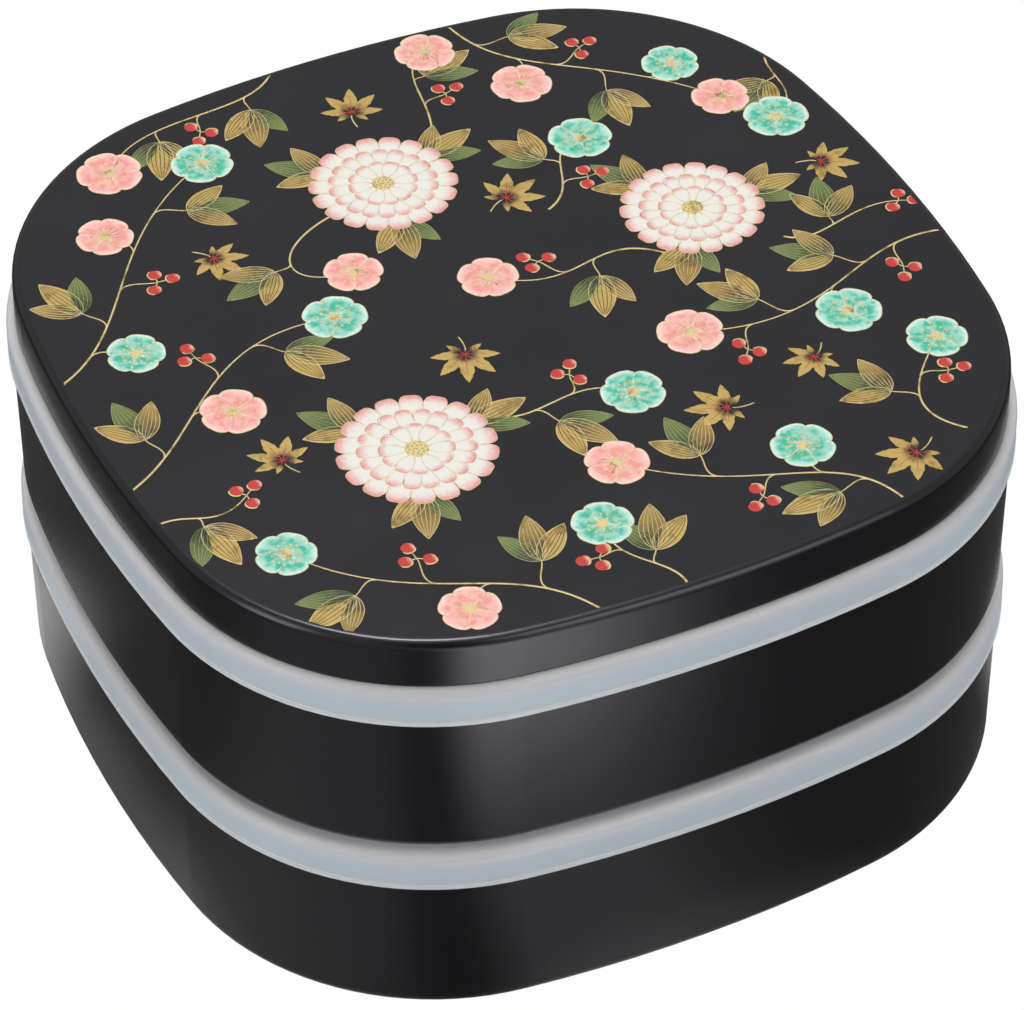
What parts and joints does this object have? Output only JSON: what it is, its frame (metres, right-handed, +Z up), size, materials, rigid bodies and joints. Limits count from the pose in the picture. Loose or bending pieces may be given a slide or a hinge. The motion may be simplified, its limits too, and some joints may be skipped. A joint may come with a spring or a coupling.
{
  "type": "stacking lacquer food box",
  "caption": "Stacking lacquered food box with bulged sides: open tiers, a soft seal lid over each tier, and a flat outer lid on top.",
  "frame": {"origin": "middle of the footprint, on the surface that the lower tier's foot ring stands on", "axes": "+Z up, which is the way every piece lifts off; X and Y each run through the middles of two bulged sides"},
  "size_m": [0.1818, 0.1818, 0.0963],
  "materials": {
    "lower_tier": "satin black lacquer on moulded plastic",
    "lower_seal_lid": "frosted, milky, flexible seal lid",
    "upper_tier": "satin black lacquer on moulded plastic",
    "upper_seal_lid": "frosted, milky, flexible seal lid",
    "outer_lid": "satin black lacquer with printed gold, pink and turquoise flowers"
  },
  "bodies": {
    "lower_tier": {"lower_tier": "lower_tier"},
    "lower_seal_lid": {"lower_seal_lid": "lower_seal_lid"},
    "upper_tier": {"upper_tier": "upper_tier"},
    "upper_seal_lid": {"upper_seal_lid": "upper_seal_lid"},
    "outer_lid": {"outer_lid": "outer_lid"}
  },
  "joints": [
    {"name": "lower_seal_lift", "type": "slide", "parent": "lower_tier", "child": "lower_seal_lid", "axis": [0, 0, 1], "range_m": [0, 0.1]},
    {"name": "upper_tier_lift", "type": "slide", "parent": "lower_seal_lid", "child": "upper_tier", "axis": [0, 0, 1], "range_m": [0, 0.1]},
    {"name": "upper_seal_lift", "type": "slide", "parent": "upper_tier", "child": "upper_seal_lid", "axis": [0, 0, 1], "range_m": [0, 0.1]},
    {"name": "outer_lid_lift", "type": "slide", "parent": "upper_seal_lid", "child": "outer_lid", "axis": [0, 0, 1], "range_m": [0, 0.1]}
  ]
}
